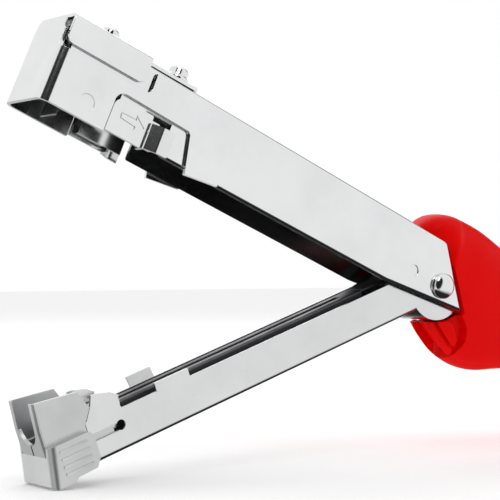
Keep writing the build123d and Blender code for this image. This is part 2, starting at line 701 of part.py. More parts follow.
for name, start, length in (("rod_front_block", RAIL_FRONT, 1.6), ("rod_rear_block", ROD_BLOCK_FRONT, 4.0)):
    with BuildPart() as rod_block:
        with BuildSketch(face(MAG_TILT, start)):
            with Locations((0, INNER_FLOOR)):
                Rectangle(2 * RAIL_HALF - 2.04, RAIL_TOP - 1.05 - INNER_FLOOR,
                          align=(Align.CENTER, Align.MIN))
            with Locations((0, ROD_HEIGHT)):
                Circle(ROD_RADIUS, mode=Mode.SUBTRACT)
        extrude(amount=length)
    save(rod_block, name)

# ================================================================ pusher

with BuildPart() as pusher:
    with BuildSketch(face(MAG_TILT, PUSHER_FRONT)) as saddle:
        with Locations((0, INNER_FLOOR + 1.2)):
            Rectangle(2 * (RAIL_HALF + 1.3), RAIL_TOP + 1.1 - INNER_FLOOR - 1.2,
                      align=(Align.CENTER, Align.MIN))
        fillet(saddle.vertices().group_by(Axis.Y)[-1], 1.0)
        with Locations((0, INNER_FLOOR)):
            Rectangle(2 * (RAIL_HALF + 0.1), RAIL_TOP + 0.1 - INNER_FLOOR, mode=Mode.SUBTRACT,
                      align=(Align.CENTER, Align.MIN))
    extrude(amount=PUSHER_LENGTH)
    # stem through the slot of the rail, down to the bush on the rod
    with BuildSketch(side(MAG_TILT)):
        with Locations((BUSH_REAR - 8, ROD_HEIGHT)):
            Rectangle(8, RAIL_TOP + 0.5 - ROD_HEIGHT, align=(Align.MIN, Align.MIN))
    extrude(amount=1.0, both=True)
    with BuildSketch(face(MAG_TILT, BUSH_REAR - 10)):
        with Locations((0, ROD_HEIGHT)):
            Circle(BUSH_RADIUS)
    extrude(amount=10)
    with BuildSketch(face(MAG_TILT, BUSH_REAR - 12)):
        with Locations((0, ROD_HEIGHT)):
            Circle(ROD_RADIUS + FIT)
    extrude(amount=14, mode=Mode.SUBTRACT)
save(pusher, "pusher")

SPRING_END_GAP = 0.1

with BuildPart() as pusher_spring:
    with BuildSketch(face(MAG_TILT, BUSH_REAR + SPRING_END_GAP)):
        with Locations((0, ROD_HEIGHT)):
            Circle(2.3)
            Circle(1.5, mode=Mode.SUBTRACT)
    extrude(amount=ROD_BLOCK_FRONT - BUSH_REAR - 2 * SPRING_END_GAP)
save(pusher_spring, "pusher_spring")

# ================================================================ latch

LATCH_WEB_TOP = 14.3
LATCH_ARM_REAR = -130.0
LIP_TOP = -0.6

with BuildPart() as latch_slider:
    # arms inside the channel, joined over the magazine
    with BuildSketch(side(BODY_TILT)):
        with Locations((-147.0, -8.2)):
            Rectangle(LATCH_ARM_REAR + 147.0, 9.7, align=(Align.MIN, Align.MIN))
        with Locations((-142.0, 0)):
            Rectangle(9.0, LATCH_WEB_TOP, align=(Align.MIN, Align.MIN))
    extrude(amount=LATCH_HALF, both=True)
    with BuildSketch(side(BODY_TILT)):
        with Locations((-150.0, -10)):
            Rectangle(30.0, LATCH_WEB_TOP + 10 - LATCH_SHEET, align=(Align.MIN, Align.MIN))
    extrude(amount=LATCH_HALF - LATCH_SHEET, both=True, mode=Mode.SUBTRACT)
    for y_side in WALL_SIDES:
        # tab that fills the front of the window, flush with the housing
        with BuildSketch(side(BODY_TILT, y_side * (CHANNEL_HALF + 0.1))) as tab:
            with Locations((TAB_FRONT, LATCH_BOTTOM)):
                Rectangle(TAB_REAR - TAB_FRONT, TAB_TOP - LATCH_BOTTOM, align=(Align.MIN, Align.MIN))
            fillet(tab.vertices().group_by(Axis.X)[0].sort_by(Axis.Y)[-1], 3.0)
        extrude(amount=-y_side * 1.2)
        with BuildSketch(side(BODY_TILT, y_side * (LATCH_HALF - LATCH_SHEET))):
            with Locations((TAB_REAR, -8.2)):
                Rectangle(1.0, TAB_TOP + 8.2, align=(Align.MAX, Align.MIN))
        extrude(amount=-y_side * (CHANNEL_HALF + 0.1 - LATCH_HALF + LATCH_SHEET + 1.2))
    # finger lips, curled outwards behind the tabs
    with BuildSketch(deck(BODY_TILT, LATCH_BOTTOM)):
        with BuildLine():
            FilletPolyline((TAB_REAR, 9.8), (TAB_REAR, 13.9), (-131.0, 15.9), (-127.3, 16.3),
                           radius=1.4)
            offset(amount=0.5, side=Side.BOTH)
        make_face()
        mirror(about=Plane.XZ)
    extrude(amount=LIP_TOP - LATCH_BOTTOM)
    # outline arrow cut into each tab
    for y_side in WALL_SIDES:
        with BuildSketch(side(BODY_TILT, y_side * (CHANNEL_HALF + 1.3))):
            with BuildLine():
                Polyline((-145.8, -1.8), (-140.0, -1.6), (-140.2, -0.2), (-136.0, -3.1),
                         (-139.8, -5.7), (-139.6, -4.2), (-145.4, -3.8), close=True)
            make_face()
            with BuildLine():
                Polyline((-145.4, -2.1), (-139.6, -1.95), (-139.75, -0.95), (-136.6, -3.1),
                         (-139.4, -4.95), (-139.2, -3.95), (-145.1, -3.5), close=True)
            make_face(mode=Mode.SUBTRACT)
        extrude(amount=y_side * 0.35, mode=Mode.SUBTRACT)
save(latch_slider, "latch_slider")

LATCH_SPRING_Y = 8.0
LATCH_SPRING_UP = 13.1
BRACKET_FRONT = -118.0

with BuildPart() as latch_bracket:
    with BuildSketch(side(BODY_TILT)):
        with Locations((BRACKET_FRONT, 11.2)):
            Rectangle(1.2, CHANNEL_TOP - SHEET - 11.2, align=(Align.MIN, Align.MIN))
    extrude(amount=CHANNEL_INNER, both=True)
    with BuildSketch(side(BODY_TILT)):
        with Locations((BRACKET_FRONT, 14)):
            Rectangle(8, 20)
    extrude(amount=6.2, both=True, mode=Mode.SUBTRACT)
save(latch_bracket, "latch_bracket")

with BuildPart() as latch_springs:
    with BuildSketch(face(BODY_TILT, -133.0 + SPRING_END_GAP)):
        with GridLocations(2 * LATCH_SPRING_Y, 0, 2, 1):
            with Locations((0, LATCH_SPRING_UP)):
                Circle(1.2)
                Circle(0.7, mode=Mode.SUBTRACT)
    extrude(amount=BRACKET_FRONT + 133.0 - 2 * SPRING_END_GAP)
save(latch_springs, "latch_springs")
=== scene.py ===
"""Finishes for a hammer tacker that stands open for loading.

They are plated sheet steel, plain steel, springs, rivets and a red grip.

Each piece is modelled in one of two local frames in millimetres, both with their origin on the pivot:
the body frame (x to the rear of the body channel, y across, z up) and the magazine frame (the same for
the magazine). A piece's place then goes into its mesh.
"""

import json
import math

import bpy
from bpy.props import FloatProperty, FloatVectorProperty, IntProperty, PointerProperty
from mathutils import Matrix, Vector


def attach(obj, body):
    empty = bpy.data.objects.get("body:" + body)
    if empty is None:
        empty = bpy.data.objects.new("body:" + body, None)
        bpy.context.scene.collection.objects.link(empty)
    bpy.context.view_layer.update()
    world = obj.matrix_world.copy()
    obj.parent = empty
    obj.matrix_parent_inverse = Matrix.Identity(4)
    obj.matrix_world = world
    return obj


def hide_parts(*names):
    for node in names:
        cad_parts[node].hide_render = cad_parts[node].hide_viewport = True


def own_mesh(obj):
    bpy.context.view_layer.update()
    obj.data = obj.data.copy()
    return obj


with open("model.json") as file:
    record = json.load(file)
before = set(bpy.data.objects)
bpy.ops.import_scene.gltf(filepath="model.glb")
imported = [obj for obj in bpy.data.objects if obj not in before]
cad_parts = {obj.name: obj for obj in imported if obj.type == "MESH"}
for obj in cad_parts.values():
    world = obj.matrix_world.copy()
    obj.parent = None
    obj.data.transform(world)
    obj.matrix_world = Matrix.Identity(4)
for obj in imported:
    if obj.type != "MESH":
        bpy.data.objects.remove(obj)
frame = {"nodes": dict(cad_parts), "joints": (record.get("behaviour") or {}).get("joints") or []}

bl_info = {
    "name": "Hammer Tacker Finishes",
    "version": (1, 0, 0),
    "blender": (4, 5, 0),
    "location": "3D View > Sidebar > Tacker",
    "description": "Models and finishes the pieces of a hammer tacker around its CAD frame",
    "category": "Object",
}

MM = 0.001
JOINTS = {joint["name"]: joint for joint in frame["joints"]}
PIVOT = Vector(JOINTS["magazine_swing"]["pos_m"])
BODY_REAR = Vector(JOINTS["latch_slide"]["axis"])
MAGAZINE_REAR = Vector(JOINTS["pusher_slide"]["axis"])
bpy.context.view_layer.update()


def local_frame(rear):
    """Matrix from a local frame in millimetres, whose x points to the rear, to the row frame."""
    across = Vector((0, 1, 0))
    up = rear.cross(across)
    turn = Matrix((rear, across, up)).transposed().to_4x4()
    return Matrix.Translation(PIVOT) @ turn @ Matrix.Scale(MM, 4)


BODY = local_frame(BODY_REAR)
MAGAZINE = local_frame(MAGAZINE_REAR)


# ---------------------------------------------------------------- settings
class TackerSizes(bpy.types.PropertyGroup):
    """Sizes of the fine detail, in millimetres."""

    edge_round: FloatProperty(name="Edge round", description="Rounding of sheet edges (mm)",
                              default=0.22, min=0.05)
    wire: FloatProperty(name="Spring wire", description="Wire radius of the pusher spring (mm)",
                        default=0.42, min=0.1)
    turns: IntProperty(name="Spring turns", description="Turns of the pusher spring",
                       default=38, min=8)


class TackerColours(bpy.types.PropertyGroup):
    """Base colours of the finishes."""

    plate: FloatVectorProperty(name="Plate", description="Bright nickel plate", subtype="COLOR",
                               size=3, default=(0.86, 0.865, 0.87), min=0, max=1)
    steel: FloatVectorProperty(name="Steel", description="Plain rolled steel", subtype="COLOR",
                               size=3, default=(0.50, 0.50, 0.51), min=0, max=1)
    spring: FloatVectorProperty(name="Spring", description="Oiled spring steel", subtype="COLOR",
                                size=3, default=(0.16, 0.16, 0.17), min=0, max=1)
    grip: FloatVectorProperty(name="Grip", description="Moulded grip", subtype="COLOR",
                              size=3, default=(0.88, 0.0, 0.0), min=0, max=1)


# ---------------------------------------------------------------- shader helpers
class Value:
    """A shader socket that adds Math nodes when it is used in an expression."""

    def __init__(self, shader, socket):
        self.shader = shader
        self.socket = socket

    def _math(self, operation, *inputs):
        sockets = {i: entry for i, entry in enumerate(inputs)}
        return self.shader.node("ShaderNodeMath", {"operation": operation}, sockets)

    def __add__(self, other):
        return self._math("ADD", self, other)

    __radd__ = __add__

    def __sub__(self, other):
        return self._math("SUBTRACT", self, other)

    def __rsub__(self, other):
        return self._math("SUBTRACT", other, self)

    def __mul__(self, other):
        return self._math("MULTIPLY", self, other)

    __rmul__ = __mul__


class Shader:
    """Builds the nodes of one material, or of the world."""

    def __init__(self, name, kind="materials", surface="Principled BSDF"):
        self.material = getattr(bpy.data, kind).new(name)
        self.material.use_nodes = True
        self.tree = self.material.node_tree
        self.surface = self.tree.nodes[surface]

    def node(self, kind, settings, sockets, output=0):
        made = self.tree.nodes.new(kind)
        for key, value in settings.items():
            setattr(made, key, value)
        for key, entry in sockets.items():
            self.feed(made.inputs[key], entry)
        return Value(self, made.outputs[output])

    def feed(self, target, entry):
        if isinstance(entry, Value):
            self.tree.links.new(entry.socket, target)
        else:
            target.default_value = entry

    def set(self, **sockets):
        for key, entry in sockets.items():
            self.feed(self.surface.inputs[key.replace("_", " ")], entry)

    def place(self, scale=(1, 1, 1), turn=(0, 0, 0)):
        """Object coordinates in millimetres, turned and stretched."""
        where = self.node("ShaderNodeTexCoord", {}, {}, "Object")
        size = tuple(MM / part for part in scale)
        return self.node("ShaderNodeMapping", {"vector_type": "TEXTURE"},
                         {"Vector": where, "Rotation": turn, "Scale": size})

    def noise(self, where, scale, detail=3.0, rough=0.55):
        return self.node("ShaderNodeTexNoise", {},
                         {"Vector": where, "Scale": scale, "Detail": detail, "Roughness": rough}, "Fac")

    def ramp(self, value, low, high, dark=0.0, light=1.0):
        ends = {"From Min": low, "From Max": high, "To Min": dark, "To Max": light}
        return self.node("ShaderNodeMapRange", {"clamp": True}, {"Value": value, **ends})

    def mix(self, share, first, second):
        share_input, first_input, second_input, colour_output = 0, 6, 7, 2
        return self.node("ShaderNodeMix", {"data_type": "RGBA"},
                         {share_input: share, first_input: first, second_input: second}, colour_output)

    def bump(self, height, strength, distance):
        return self.node("ShaderNodeBump", {},
                         {"Height": height, "Strength": strength, "Distance": distance})


def opaque(colour, factor=1.0):
    """A colour with alpha, made darker or lighter."""
    return (*(min(1.0, factor * part) for part in colour), 1.0)


def tilt_of(rear):
    """Turn about Y that lays a pattern along a part."""
    return (0.0, math.atan2(-rear.z, rear.x), 0.0)


def plate_material(name, colour, rear, roughness):
    """Bright plate on sheet: a faint rolled grain along the part, handling haze and hairline scratches."""
    shader = Shader(name)
    turn = tilt_of(rear)
    even = shader.place()
    grain = shader.noise(shader.place((0.02, 1.0, 1.0), turn), 3.2, 4.0)
    haze = shader.noise(even, 0.055, 5.0, 0.6)
    specks = shader.ramp(shader.noise(even, 2.3, 2.0), 0.66, 0.74)
    askew = (0.0, turn[1] + 0.5, 0.15)
    scratch_lines = shader.noise(shader.place((0.012, 0.9, 0.9), askew), 1.9, 2.0)
    scratches = shader.ramp(scratch_lines, 0.69, 0.72)
    cloud = shader.ramp(haze, 0.35, 0.7)
    worn = shader.mix(cloud * 0.5 + specks * 0.2, opaque(colour), opaque(colour, 0.88))
    shader.set(
        Base_Color=worn,
        Metallic=1.0,
        Roughness=roughness + cloud * 0.05 + scratches * 0.08 + specks * 0.05,
        Normal=shader.bump(grain * 0.3 + haze * 0.8 - scratches * 0.2, 0.03, 0.0002),
    )
    return shader.material


def steel_material(name, colour, rear, roughness):
    """Plain rolled steel: drawn grain, oil stains here and there."""
    shader = Shader(name)
    turn = tilt_of(rear)
    grain = shader.noise(shader.place((0.03, 1.0, 1.0), turn), 2.4, 5.0)
    stain = shader.ramp(shader.noise(shader.place(), 0.12, 4.0), 0.4, 0.72)
    shader.set(
        Base_Color=shader.mix(stain * 0.7, opaque(colour), opaque(colour, 0.62)),
        Metallic=1.0,
        Roughness=roughness + grain * 0.12 + stain * 0.1,
        Normal=shader.bump(grain, 0.12, 0.0002),
    )
    return shader.material


def grip_material(name, colour):
    """Satin moulded plastic with a fine spark-eroded skin and slight flow marks."""
    shader = Shader(name)
    even = shader.place()
    skin = shader.noise(even, 3.4, 3.0)
    flow = shader.noise(shader.place((0.3, 1.0, 1.0), tilt_of(BODY_REAR)), 0.06, 3.0)
    scuff = shader.ramp(shader.noise(even, 0.35, 6.0, 0.65), 0.62, 0.75)
    shader.set(
        Base_Color=shader.mix(flow * 0.5 + scuff * 0.1, opaque(colour), opaque(colour, 0.82)),
        Roughness=0.4 + skin * 0.08 + scuff * 0.1,
        Normal=shader.bump(skin + flow * 0.8, 0.09, 0.0003),
    )
    shader.set(IOR=1.46, Specular_IOR_Level=0.08)
    return shader.material


MATERIALS = {}


def make_materials():
    """Every finish of the tacker, by name."""
    colours = bpy.context.scene.tacker_colours
    # name, kind, colour and its share, direction of the grain, roughness
    for name, make, colour, share, rear, roughness in (
        ("body_plate", plate_material, colours.plate, 1.0, BODY_REAR, 0.13),
        ("magazine_plate", plate_material, colours.plate, 0.9, MAGAZINE_REAR, 0.17),
        ("cast_plate", plate_material, colours.plate, 0.86, MAGAZINE_REAR, 0.36),
        ("rivet_plate", plate_material, colours.plate, 0.98, BODY_REAR, 0.10),
        ("body_steel", steel_material, colours.steel, 1.0, BODY_REAR, 0.27),
        ("rail_steel", steel_material, colours.spring, 1.0, MAGAZINE_REAR, 0.38),
        ("track_steel", steel_material, colours.steel, 1.0, MAGAZINE_REAR, 0.25),
        ("spring_wire", steel_material, colours.spring, 1.0, MAGAZINE_REAR, 0.3),
    ):
        MATERIALS[name] = make(name, tuple(share * part for part in colour), rear, roughness)
    MATERIALS["grip_red"] = grip_material("grip_red", tuple(colours.grip))


# ---------------------------------------------------------------- modelling helpers
def alone(obj):
    """Selects one object and makes it active."""
    bpy.ops.object.select_all(action="DESELECT")
    obj.select_set(True)
    bpy.context.view_layer.objects.active = obj


def add(kind, name, **settings):
    """Adds a primitive and names it."""
    bpy.ops.object.select_all(action="DESELECT")
    getattr(bpy.ops.mesh, f"primitive_{kind}_add")(**settings)
    obj = bpy.context.object
    obj.name = obj.data.name = name
    return obj


def modify(obj, kind, **settings):
    """Adds a modifier and applies it."""
    alone(obj)
    modifier = obj.modifiers.new(kind.title(), kind)
    for key, value in settings.items():
        setattr(modifier, key, value)
    bpy.ops.object.modifier_apply(modifier=modifier.name)


def edit(obj):
    """Opens edit mode on one object."""
    alone(obj)
    bpy.ops.object.mode_set(mode="EDIT")


def leave():
    """Closes edit mode."""
    bpy.ops.object.mode_set(mode="OBJECT")


def face_out_and_leave():
    """Turns every face outwards and closes edit mode."""
    bpy.ops.mesh.select_all(action="SELECT")
    bpy.ops.mesh.normals_make_consistent(inside=False)
    leave()


def join(pieces):
    """Joins the pieces into the first one."""
    alone(pieces[0])
    for piece in pieces[1:]:
        piece.select_set(True)
    bpy.ops.object.join()
    return pieces[0]


def settle(obj, place, material, body, slot, *nodes, angle=35.0):
    """Puts a piece's place into its mesh, shades it, ties it to its body and hides the CAD nodes it stands
    for; slot is not used.
    """
    alone(obj)
    obj.data.transform(place @ obj.matrix_world)
    obj.matrix_world = Matrix.Identity(4)
    bpy.ops.object.shade_smooth_by_angle(angle=math.radians(angle))
    modify(obj, "WEIGHTED_NORMAL", keep_sharp=True, weight=100, mode="FACE_AREA")
    obj.data.materials.clear()
    obj.data.materials.append(MATERIALS[material])
    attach(obj, body)
    if nodes:
        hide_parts(*nodes)
    return obj


SAME_POINT = 0.000002  # metres
FLAT_ANGLE = 1.5  # degrees: faces that meet under this are one face
EDGE_ANGLE = 32  # degrees: edges sharper than this are rounded


def rounded_copy(node, name, material, body, slot, width, segments=3):
    """Copy of a CAD node with its doubles merged, its flat faces joined and its sharp edges rounded."""
    source = frame["nodes"][node]
    obj = source.copy()
    obj.data = source.data.copy()
    obj.parent = None
    for key in list(obj.keys()):
        del obj[key]
    obj.name = obj.data.name = name
    bpy.context.scene.collection.objects.link(obj)
    edit(obj)
    bpy.ops.mesh.select_all(action="SELECT")
    bpy.ops.mesh.remove_doubles(threshold=SAME_POINT)
    bpy.ops.mesh.dissolve_limited(angle_limit=math.radians(FLAT_ANGLE))
    leave()
    modify(obj, "BEVEL", width=width * MM, segments=segments, limit_method="ANGLE",
           angle_limit=math.radians(EDGE_ANGLE), use_clamp_overlap=True, miter_outer="MITER_ARC",
           harden_normals=False)
    return settle(obj, Matrix.Identity(4), material, body, slot, node, angle=40.0)


def lathe(name, rings, vertices=56):
    """Turned piece from (radius, height) rings, closed at both ends, standing on local z."""
    obj = add("circle", name, vertices=vertices, radius=rings[0][0], fill_type="NGON",
              location=(0, 0, 0), enter_editmode=False)
    edit(obj)
    bpy.ops.mesh.select_all(action="SELECT")
    bpy.ops.transform.translate(value=(0, 0, rings[0][1]))
    for (radius, height), (next_radius, next_height) in zip(rings, rings[1:]):
        bpy.ops.mesh.extrude_region_move(TRANSFORM_OT_translate={"value": (0, 0, next_height - height)})
        factor = next_radius / radius
        bpy.ops.transform.resize(value=(factor, factor, 1), center_override=(0, 0, next_height))
    face_out_and_leave()
    return obj


def coil(name, radius, wire, length, turns, closed=3):
    """Helical spring along local z, with close turns at both ends."""
    sides = 8
    obj = add("circle", name, vertices=sides, radius=wire, location=(radius, 0, wire),
              rotation=(math.radians(90), 0, 0))
    bpy.ops.object.transform_apply(location=True, rotation=True, scale=True)
    pitch = (length - 2 * wire) / turns
    modify(obj, "SCREW", axis="Z", angle=2 * math.pi, screw_offset=pitch, iterations=turns,
           steps=20, render_steps=20, use_merge_vertices=False)
    # the end turns are drawn together
    tight = 2.05 * wire
    half = length / 2
    for vertex in obj.data.vertices:
        low = vertex.co.z <= half
        depth = vertex.co.z if low else length - vertex.co.z
        if depth < closed * pitch:
            drawn = depth * tight / pitch
        else:
            free = half - closed * pitch
            drawn = closed * tight + (depth - closed * pitch) * (half - closed * tight) / free
        vertex.co.z = drawn if low else length - drawn
    edit(obj)
    bpy.ops.mesh.select_all(action="DESELECT")
    bpy.ops.mesh.select_non_manifold()
    bpy.ops.mesh.fill_holes(sides=sides)
    face_out_and_leave()
    return obj


def curve_value(points, x):
    """Smooth curve through (x, value) points, by Catmull-Rom, flat beyond the ends."""
    if x <= points[0][0]:
        return points[0][1]
    if x >= points[-1][0]:
        return points[-1][1]
    for i in range(len(points) - 1):
        (x1, v1), (x2, v2) = points[i], points[i + 1]
        if x1 <= x <= x2:
            x0, v0 = points[i - 1] if i else (x1, v1)
            x3, v3 = points[i + 2] if i + 2 < len(points) else (x2, v2)
            span = x2 - x1
            m1 = (v2 - v0) / (x2 - x0) * span
            m2 = (v3 - v1) / (x3 - x1) * span
            t = (x - x1) / span
            return ((2 * t**3 - 3 * t**2 + 1) * v1 + (t**3 - 2 * t**2 + t) * m1
                    + (3 * t**2 - 2 * t**3) * v2 + (t**3 - t**2) * m2)


# ---------------------------------------------------------------- operators
class TACKER_OT_finishes(bpy.types.Operator):
    """Makes the plated, steel, spring and plastic finishes"""

    bl_idname = "tacker.finishes"
    bl_label = "Make finishes"

    def execute(self, context):
        make_materials()
        return {"FINISHED"}


# node: finish, body, record slot, edge rounding as a share of the sheet setting
SHEET_PARTS = {
    "body_channel": ("body_plate", "body", "plated_sheet", 1.6),
    "head_housing": ("body_plate", "body", "plated_sheet", 2.8),
    "top_cap": ("body_plate", "body", "plated_sheet", 2.6),
    "top_strap": ("body_plate", "body", "plated_sheet", 1.0),
    "latch_slider": ("body_plate", "latch", "plated_sheet", 0.7),
    "driver_blade": ("body_steel", "body", "inner_steel", 0.6),
    "driver_clamp": ("body_steel", "body", "inner_steel", 0.8),
    "return_leaf": ("body_steel", "body", "spring_steel", 0.5),
    "open_stop": ("body_steel", "body", "inner_steel", 0.5),
    "latch_bracket": ("body_steel", "body", "inner_steel", 0.8),
    "handle_fork": ("body_steel", "body", "inner_steel", 1.0),
    "magazine_channel": ("magazine_plate", "magazine", "plated_sheet", 1.6),
    "nose_guide": ("cast_plate", "magazine", "plated_sheet", 1.0),
    "nose_cap": ("cast_plate", "magazine", "plated_solid", 2.4),
    "staple_rail": ("rail_steel", "magazine", "inner_steel", 0.8),
    "rail_tongue": ("rail_steel", "magazine", "inner_steel", 0.6),
    "pusher": ("magazine_plate", "pusher", "plated_solid", 1.0),
}


class TACKER_OT_sheet_parts(bpy.types.Operator):
    """Rounds the edges of the pressed parts"""

    bl_idname = "tacker.sheet_parts"
    bl_label = "Round the pressed parts"

    def execute(self, context):
        size = context.scene.tacker_sizes.edge_round
        for node, (material, body, slot, share) in SHEET_PARTS.items():
            rounded_copy(node, f"{node}_finish", material, body, slot, size * share)
        return {"FINISHED"}


# CAD nodes that stay as they are, hidden deep inside or plain round bar
CARRIED = {
    "tang_pins": "body_steel",
    "guide_rod": "track_steel",
    "rod_front_block": "track_steel",
    "rod_rear_block": "track_steel",
}


class TACKER_OT_carried_parts(bpy.types.Operator):
    """Gives the parts that stay as they are their finish"""

    bl_idname = "tacker.carried_parts"
    bl_label = "Finish the inner parts"

    def execute(self, context):
        for node, material in CARRIED.items():
            obj = frame["nodes"][node]
            obj.data.materials.clear()
            obj.data.materials.append(MATERIALS[material])
        return {"FINISHED"}


def cad_span(node, place):
    """Lowest and highest corner of a CAD node in a local frame."""
    back = place.inverted()
    points = [back @ vertex.co for vertex in frame["nodes"][node].data.vertices]
    low = Vector(min(point[i] for point in points) for i in range(3))
    high = Vector(max(point[i] for point in points) for i in range(3))
    return low, high


PIVOT_SHANK = 2.46
PIVOT_RIM = 0.9  # straight side of each head
PIVOT_DOME = 2.1
PIVOT_STEPS = 8
RIVET_SHANK = 1.66
CAP_RIVET_RADIUS = 2.9
STRAP_RIVET_RADIUS = 4.0
# radius of each ring and its depth below the top
CAP_RIVET_RINGS = ((2.6, 3.6), (2.88, 3.3), (2.88, 1.1), (2.6, 0.4), (2.0, 0.05), (1.2, 0.0),
                   (0.95, 0.35), (0.1, 0.6))
STRAP_RIVET_RINGS = ((3.7, 4.5), (4.0, 4.2), (3.95, 3.3), (3.5, 2.9), (3.25, 2.6), (3.25, 1.0),
                     (3.0, 0.35), (2.5, 0.0), (2.0, 0.1), (1.5, 0.8), (1.1, 2.0), (0.1, 2.3))


class TACKER_OT_rivets(bpy.types.Operator):
    """Turns the pivot rivet and the rivets of the cap and the strap"""

    bl_idname = "tacker.rivets"
    bl_label = "Turn the rivets"

    def execute(self, context):
        self.pivot()
        self.pair("cap_rivets", CAP_RIVET_RADIUS, CAP_RIVET_RINGS)
        self.pair("strap_rivets", STRAP_RIVET_RADIUS, STRAP_RIVET_RINGS)
        return {"FINISHED"}

    def pivot(self):
        """Shank with a full dome at each end, turned to lie along the pivot axis."""
        _, high = cad_span("pivot_rivet", BODY)
        radius, wall = high.z, high.y - PIVOT_RIM - PIVOT_DOME
        head = [(radius - 0.25, wall), (radius, wall + 0.25), (radius, wall + PIVOT_RIM)]
        for step in range(1, PIVOT_STEPS + 1):
            angle = step / PIVOT_STEPS * math.pi / 2
            height = wall + PIVOT_RIM + PIVOT_DOME * math.sin(angle)
            head.append((max(radius * math.cos(angle), 0.02), height))
        shank = [(PIVOT_SHANK, -wall), (PIVOT_SHANK, wall)]
        rings = [(r, -z) for r, z in reversed(head)] + shank + head
        pivot = lathe("pivot_rivet_finish", rings, 72)
        place = BODY @ Matrix.Rotation(math.radians(-90), 4, "X")
        settle(pivot, place, "rivet_plate", "body", "plated_solid", "pivot_rivet", angle=50.0)

    def pair(self, node, radius, rings):
        """Two like rivets, one each side of the middle, as one piece."""
        low, high = cad_span(node, BODY)
        along, out = (low.x + high.x) / 2, (high.y - low.y) / 2 - radius
        head = [(ring, high.z - depth) for ring, depth in rings]
        shape = [(RIVET_SHANK, low.z), (RIVET_SHANK, head[0][1]), *head]
        made = []
        for y in (-out, out):
            rivet = lathe(f"{node}_finish", shape)
            rivet.data.transform(Matrix.Translation((along, y, 0)))
            made.append(rivet)
        settle(join(made), BODY, "rivet_plate", "body", "plated_solid", node, angle=50.0)


PUSHER_COIL = 1.88  # radius to the middle of the wire
LATCH_COIL = 0.95
LATCH_WIRE = 0.22
LATCH_TURNS = 11
LATCH_SPRING_RADIUS = 1.2


class TACKER_OT_springs(bpy.types.Operator):
    """Winds the pusher spring and the latch springs"""

    bl_idname = "tacker.springs"
    bl_label = "Wind the springs"

    def execute(self, context):
        sizes = context.scene.tacker_sizes
        along_x = Matrix.Rotation(math.radians(90), 4, "Y")
        low, high = cad_span("pusher_spring", MAGAZINE)
        spring = coil("pusher_spring_finish", PUSHER_COIL, sizes.wire, high.x - low.x, sizes.turns)
        height = (low.z + high.z) / 2
        place = MAGAZINE @ Matrix.Translation((low.x, 0, height)) @ along_x
        settle(spring, place, "spring_wire", "magazine", "spring_steel", "pusher_spring", angle=80.0)
        travel = JOINTS["pusher_slide"]["range_m"][1] / MM
        1 - travel / (high.x - low.x)
        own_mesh(spring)

        low, high = cad_span("latch_springs", BODY)
        out = (high.y - low.y) / 2 - LATCH_SPRING_RADIUS
        coils = []
        for y in (-out, out):
            winding = coil("latch_springs_finish", LATCH_COIL, LATCH_WIRE, high.x - low.x, LATCH_TURNS,
                           closed=2)
            winding.data.transform(Matrix.Translation((low.x, y, (low.z + high.z) / 2)) @ along_x)
            coils.append(winding)
        pair = settle(join(coils), BODY, "spring_wire", "body", "spring_steel", "latch_springs", angle=80.0)
        travel = JOINTS["latch_slide"]["range_m"][1] / MM
        1 - travel / (high.x - low.x)
        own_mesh(pair)
        return {"FINISHED"}


# outlines of the grip in the body frame: (distance behind the pivot, value), in millimetres
GRIP_TOP = ((-12.4, 18.8), (-11.0, 21.4), (-7.5, 25.2), (-3.0, 27.5), (3.0, 28.9), (9.0, 29.3), (16.0, 29.1),
            (27.0, 27.5), (35.0, 26.1), (43.5, 25.0), (54.0, 23.8), (70.0, 22.4), (98.0, 21.4),
            (122.0, 20.7), (130.0, 19.0), (133.0, 16.0))
GRIP_LOW = ((-12.4, 15.4), (-11.0, 15.0), (-2.0, 10.0), (1.5, 4.0), (3.2, -8.0), (4.2, -13.4), (6.6, -15.7),
            (9.6, -17.4), (16.0, -20.1), (22.0, -21.2), (28.0, -21.2), (35.0, -19.7), (43.5, -15.9),
            (54.0, -11.7), (70.0, -9.3), (98.0, -9.6), (122.0, -11.3), (130.0, -10.9), (133.0, -8.6))
GRIP_HALF = ((-12.4, 2.6), (-11.0, 5.6), (-7.5, 8.4), (-3.0, 10.3), (3.0, 11.8), (9.0, 12.45), (16.0, 13.3),
             (27.0, 13.6), (43.5, 13.3), (54.0, 12.9), (70.0, 12.4), (98.0, 12.6), (122.0, 13.2),
             (130.0, 12.6), (133.0, 10.4))

# pocket of the finger guard and the fins in it, in the body frame's side view
POCKET_DEPTH = 3.4
POCKET_SIDE = ((2.0, -6.0), (12.5, -6.0), (17.0, -9.5), (19.5, -14.0), (19.5, -24.0), (2.0, -24.0))
FIN_SIDE = ((1.0, -9.6), (11.5, -10.4), (16.5, -15.0), (21.0, -26.0), (1.0, -26.0))
FINS_OUT = (5.2, 8.8, 12.2)
FIN_THICK = 2.3
SQUARENESS = 0.86  # 1 gives oval sections, less gives squarer ones
SOCKET_HALF = 20.0
DRUM_RADIUS = 13.4  # room for the magazine's rounded rear
DRUM_HALF = 10.0


